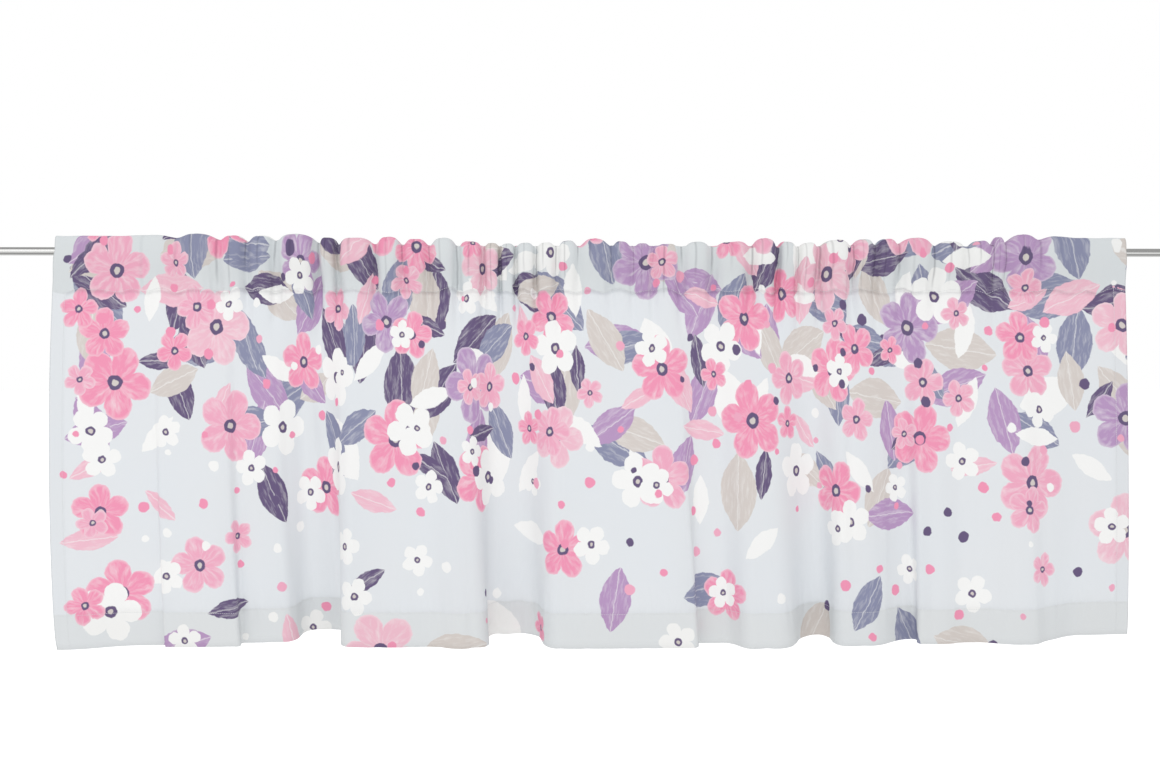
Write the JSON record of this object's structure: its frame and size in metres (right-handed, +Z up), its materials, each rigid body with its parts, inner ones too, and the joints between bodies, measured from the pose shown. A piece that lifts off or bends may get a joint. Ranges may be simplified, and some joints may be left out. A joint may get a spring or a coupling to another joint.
{
  "type": "window valance on a curtain rod",
  "caption": "Wide, short curtain panel lightly gathered on a slim round rod through its rod pocket, with a printed front, side hems and a deep bottom hem.",
  "frame": {"origin": "middle of the flat end face at the rod's left end, as seen from the room", "axes": "+X along the rod to its right end, +Y away from the room towards the window, +Z up"},
  "size_m": [1.8, 0.1045, 0.5979],
  "materials": {
    "cloth": "matte, finely woven, slightly see-through",
    "rod": "polished"
  },
  "bodies": {
    "root": {"valance_cloth": "cloth", "curtain_rod": "rod"}
  },
  "joints": []
}
